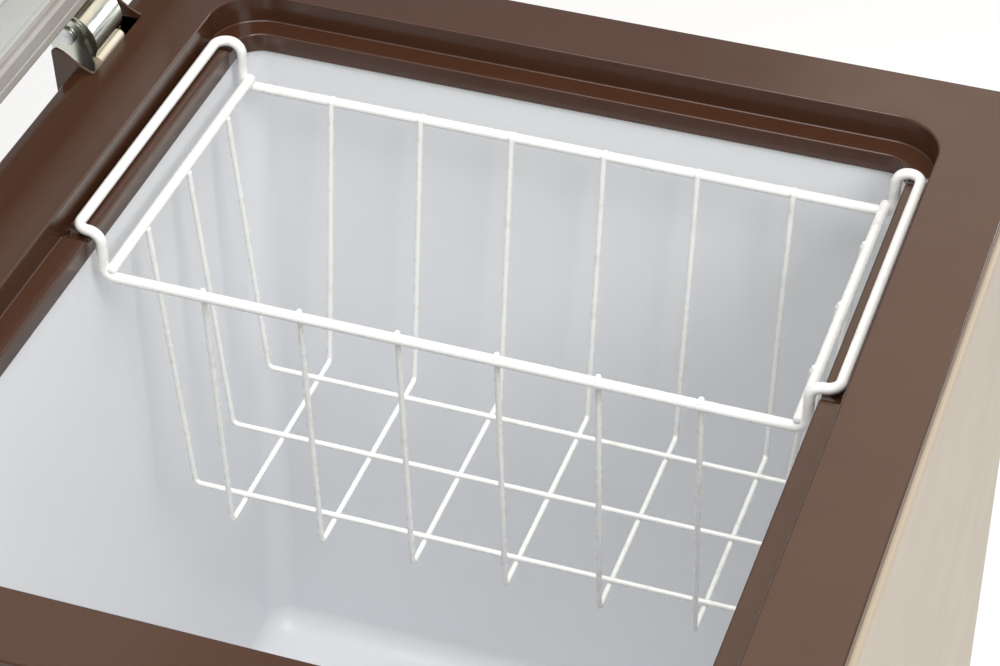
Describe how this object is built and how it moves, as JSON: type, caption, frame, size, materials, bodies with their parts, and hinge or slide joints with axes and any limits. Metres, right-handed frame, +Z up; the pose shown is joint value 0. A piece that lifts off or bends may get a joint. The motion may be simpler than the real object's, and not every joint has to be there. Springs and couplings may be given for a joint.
{
  "type": "chest freezer",
  "caption": "Small chest freezer with a glossy brown top frame, hinged lid, hanging wire basket and a compressor bay.",
  "frame": {"origin": "on the floor, in the middle of the space that the freezer takes up with its lid open", "axes": "+Z up, -Y towards the person who opens the lid, +X to that person's right, where the compressor bay is"},
  "size_m": [0.632, 0.6036, 1.4035],
  "materials": {
    "painted_sheet": "satin",
    "zinc_sheet": "satin",
    "foot_rubber": "matte",
    "frame_plastic": "gloss",
    "control_plastic": "gloss",
    "handle_plastic": "gloss",
    "liner_sheet": "satin",
    "foam": "matte",
    "evaporator_tube": "satin",
    "condenser_tube": "satin",
    "compressor_paint": "gloss",
    "mount_rubber": "matte",
    "black_plastic": "matte",
    "copper": "satin",
    "screw_steel": "satin",
    "thermostat_body": "matte",
    "lamp_lens": "gloss",
    "knob_plastic": "gloss",
    "drain_plastic": "matte",
    "cap_plastic": "matte",
    "hinge_zinc": "satin",
    "cam_nylon": "matte",
    "spring_steel": "satin",
    "lid_lining": "satin",
    "gasket_rubber": "satin",
    "coated_wire": "gloss"
  },
  "bodies": {
    "cabinet": {"front_panel": "painted_sheet", "left_panel": "painted_sheet", "right_panel": "painted_sheet", "back_panel": "zinc_sheet", "base_plate": "zinc_sheet", "feet": "foot_rubber", "top_frame": "frame_plastic", "liner": "liner_sheet", "cabinet_foam": "foam", "evaporator_coil": "evaporator_tube", "condenser_coil": "condenser_tube", "compressor_tray": "zinc_sheet", "compressor": "compressor_paint", "compressor_mounts": "mount_rubber", "start_relay": "black_plastic", "filter_drier": "copper", "discharge_pipe": "copper", "suction_pipe": "copper", "bay_cover": "zinc_sheet", "bay_cover_screws": "screw_steel", "cord_gland": "black_plastic", "control_panel": "control_plastic", "thermostat": "thermostat_body", "indicator_lights": "lamp_lens", "drain_tube": "drain_plastic", "hinge_bodies": "hinge_zinc", "hinge_pins": "screw_steel", "hinge_screws": "screw_steel", "hinge_springs": "spring_steel"},
    "lid": {"lid_shell": "painted_sheet", "lid_foam": "foam", "lid_liner": "lid_lining", "gasket": "gasket_rubber", "lid_handle": "handle_plastic", "handle_screws": "screw_steel", "hinge_arms": "hinge_zinc", "hinge_arm_screws": "screw_steel"},
    "cams": {"hinge_cams": "cam_nylon"},
    "basket": {"basket_rim_wire": "coated_wire", "basket_side_bars": "coated_wire", "basket_long_wires": "coated_wire", "basket_cross_wires": "coated_wire"},
    "knob": {"thermostat_knob": "knob_plastic"},
    "inner_drain_plug": {"drain_plug": "drain_plastic"},
    "outer_drain_cap": {"drain_cap": "cap_plastic"}
  },
  "joints": [
    {"name": "lid_hinge", "type": "hinge", "parent": "cabinet", "child": "lid", "pos_m": [0, 0.26725, 0.8135], "axis": [1, 0, 0], "range_deg": [0, 90]},
    {"name": "cam_slide", "type": "slide", "parent": "cabinet", "child": "cams", "axis": [0, 0, 1], "range_m": [-0.01, 0], "deforming": ["hinge_springs"]},
    {"name": "basket_lift", "type": "slide", "parent": "cabinet", "child": "basket", "axis": [0, 0, 1], "range_m": [0, 0.3]},
    {"name": "knob_turn", "type": "hinge", "parent": "cabinet", "child": "knob", "pos_m": [0.2652, -0.28375, 0.1302], "axis": [0, -1, 0], "range_deg": [0, 270]},
    {"name": "plug_lift", "type": "slide", "parent": "cabinet", "child": "inner_drain_plug", "axis": [0, 0, 1], "range_m": [0, 0.08]},
    {"name": "cap_pull", "type": "slide", "parent": "cabinet", "child": "outer_drain_cap", "axis": [0, -1, 0], "range_m": [0, 0.06]}
  ],
  "couplings": [
    {"joint": "cam_slide", "follows": "lid_hinge", "m_per_rad": -0.00636}
  ]
}
